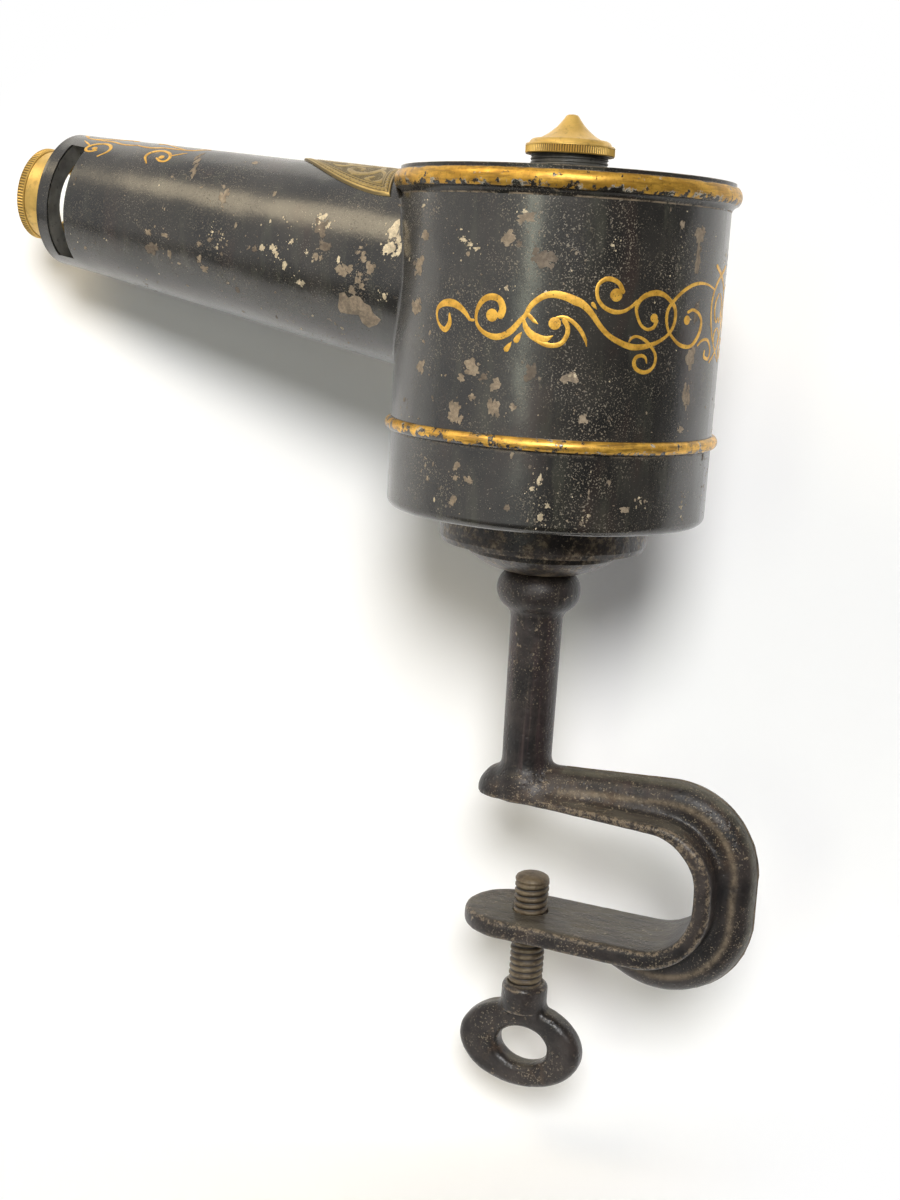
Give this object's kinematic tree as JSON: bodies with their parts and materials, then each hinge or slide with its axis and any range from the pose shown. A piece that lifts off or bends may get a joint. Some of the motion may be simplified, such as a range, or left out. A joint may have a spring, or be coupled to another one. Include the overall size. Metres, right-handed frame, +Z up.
{
  "type": "magic lantern",
  "caption": "Table-clamp magic lantern: round black tin lamp house with brass cap, tapered projection tube with slide slot and focusing lens, swivelling on a cast C-clamp with ring screw.",
  "frame": {"origin": "on the flat underside of the clamp's upper jaw, on the stem's axis", "axes": "+Z up along the stem; the projection tube and the open side of the clamp face -X"},
  "size_m": [0.3118, 0.1204, 0.361],
  "materials": {
    "casting": "worn black paint",
    "ring_iron": "worn black paint",
    "flange_iron": "worn black paint",
    "screw_iron": "rusted",
    "black_tin": "satin black japan with gold bands and scrolls",
    "plain_tin": "dull",
    "brass": "aged",
    "saddle_brass": "aged, embossed",
    "lens_glass": "clear",
    "mirror": "silvered",
    "wick_cotton": "woven cotton"
  },
  "bodies": {
    "clamp": {"clamp_frame": "casting", "pivot_washer": "screw_iron", "pivot_nut": "screw_iron"},
    "screw": {"clamp_screw": "screw_iron"},
    "ring_head": {"thumb_ring": "ring_iron"},
    "turntable": {"swivel_flange": "flange_iron", "flange_rivet_1": "plain_tin", "flange_rivet_2": "plain_tin", "flange_rivet_3": "plain_tin", "base_pan": "black_tin", "oil_font": "plain_tin", "font_filler": "brass", "burner_collar": "brass", "wick_tube": "brass", "reflector": "mirror", "reflector_bracket": "plain_tin"},
    "lamp_house": {"drum_wall": "black_tin", "drum_lid": "black_tin", "vent_neck": "black_tin", "projection_tube": "black_tin", "tube_saddle": "saddle_brass", "condenser_cell": "plain_tin", "condenser_lens": "lens_glass", "condenser_ring": "plain_tin", "slide_gate_back": "plain_tin", "slide_gate_front": "plain_tin", "tube_front": "black_tin", "objective_jacket": "brass"},
    "cap": {"vent_cap": "brass"},
    "lens_tube": {"focus_tube": "brass", "focus_rim": "brass", "objective_lens": "lens_glass", "objective_ring": "brass"},
    "winder": {"winder_shaft": "screw_iron", "winder_knob": "brass"},
    "wick": {"wick": "wick_cotton"}
  },
  "joints": [
    {"name": "screw_feed", "type": "slide", "parent": "clamp", "child": "screw", "axis": [0, 0, 1], "range_m": [-0.014, 0.019]},
    {"name": "screw_turn", "type": "hinge", "parent": "screw", "child": "ring_head", "pos_m": [0.0058, 0, -0.08], "axis": [0, 0, 1], "range_deg": [-1986.3, 2694.9]},
    {"name": "swivel", "type": "hinge", "parent": "clamp", "child": "turntable", "pos_m": [0, 0, 0.086], "axis": [0, 0, 1], "continuous": true},
    {"name": "house_lift", "type": "slide", "parent": "turntable", "child": "lamp_house", "axis": [0, 0, 1], "range_m": [0, 0.09]},
    {"name": "cap_lift", "type": "slide", "parent": "lamp_house", "child": "cap", "axis": [0, 0, 1], "range_m": [0, 0.03]},
    {"name": "focus", "type": "slide", "parent": "lamp_house", "child": "lens_tube", "axis": [-0.9914, 0, 0.1305], "range_m": [0, 0.008]},
    {"name": "wick_wind", "type": "hinge", "parent": "turntable", "child": "winder", "pos_m": [0.0095, -0.015, 0.1358], "axis": [0, 1, 0], "range_deg": [-86.5, 115.2]},
    {"name": "wick_rise", "type": "slide", "parent": "turntable", "child": "wick", "axis": [0, 0, 1], "range_m": [-0.003, 0.004]}
  ],
  "couplings": [
    {"joint": "screw_turn", "follows": "screw_feed", "rad_per_m": 2473.7},
    {"joint": "wick_wind", "follows": "wick_rise", "rad_per_m": 500}
  ]
}
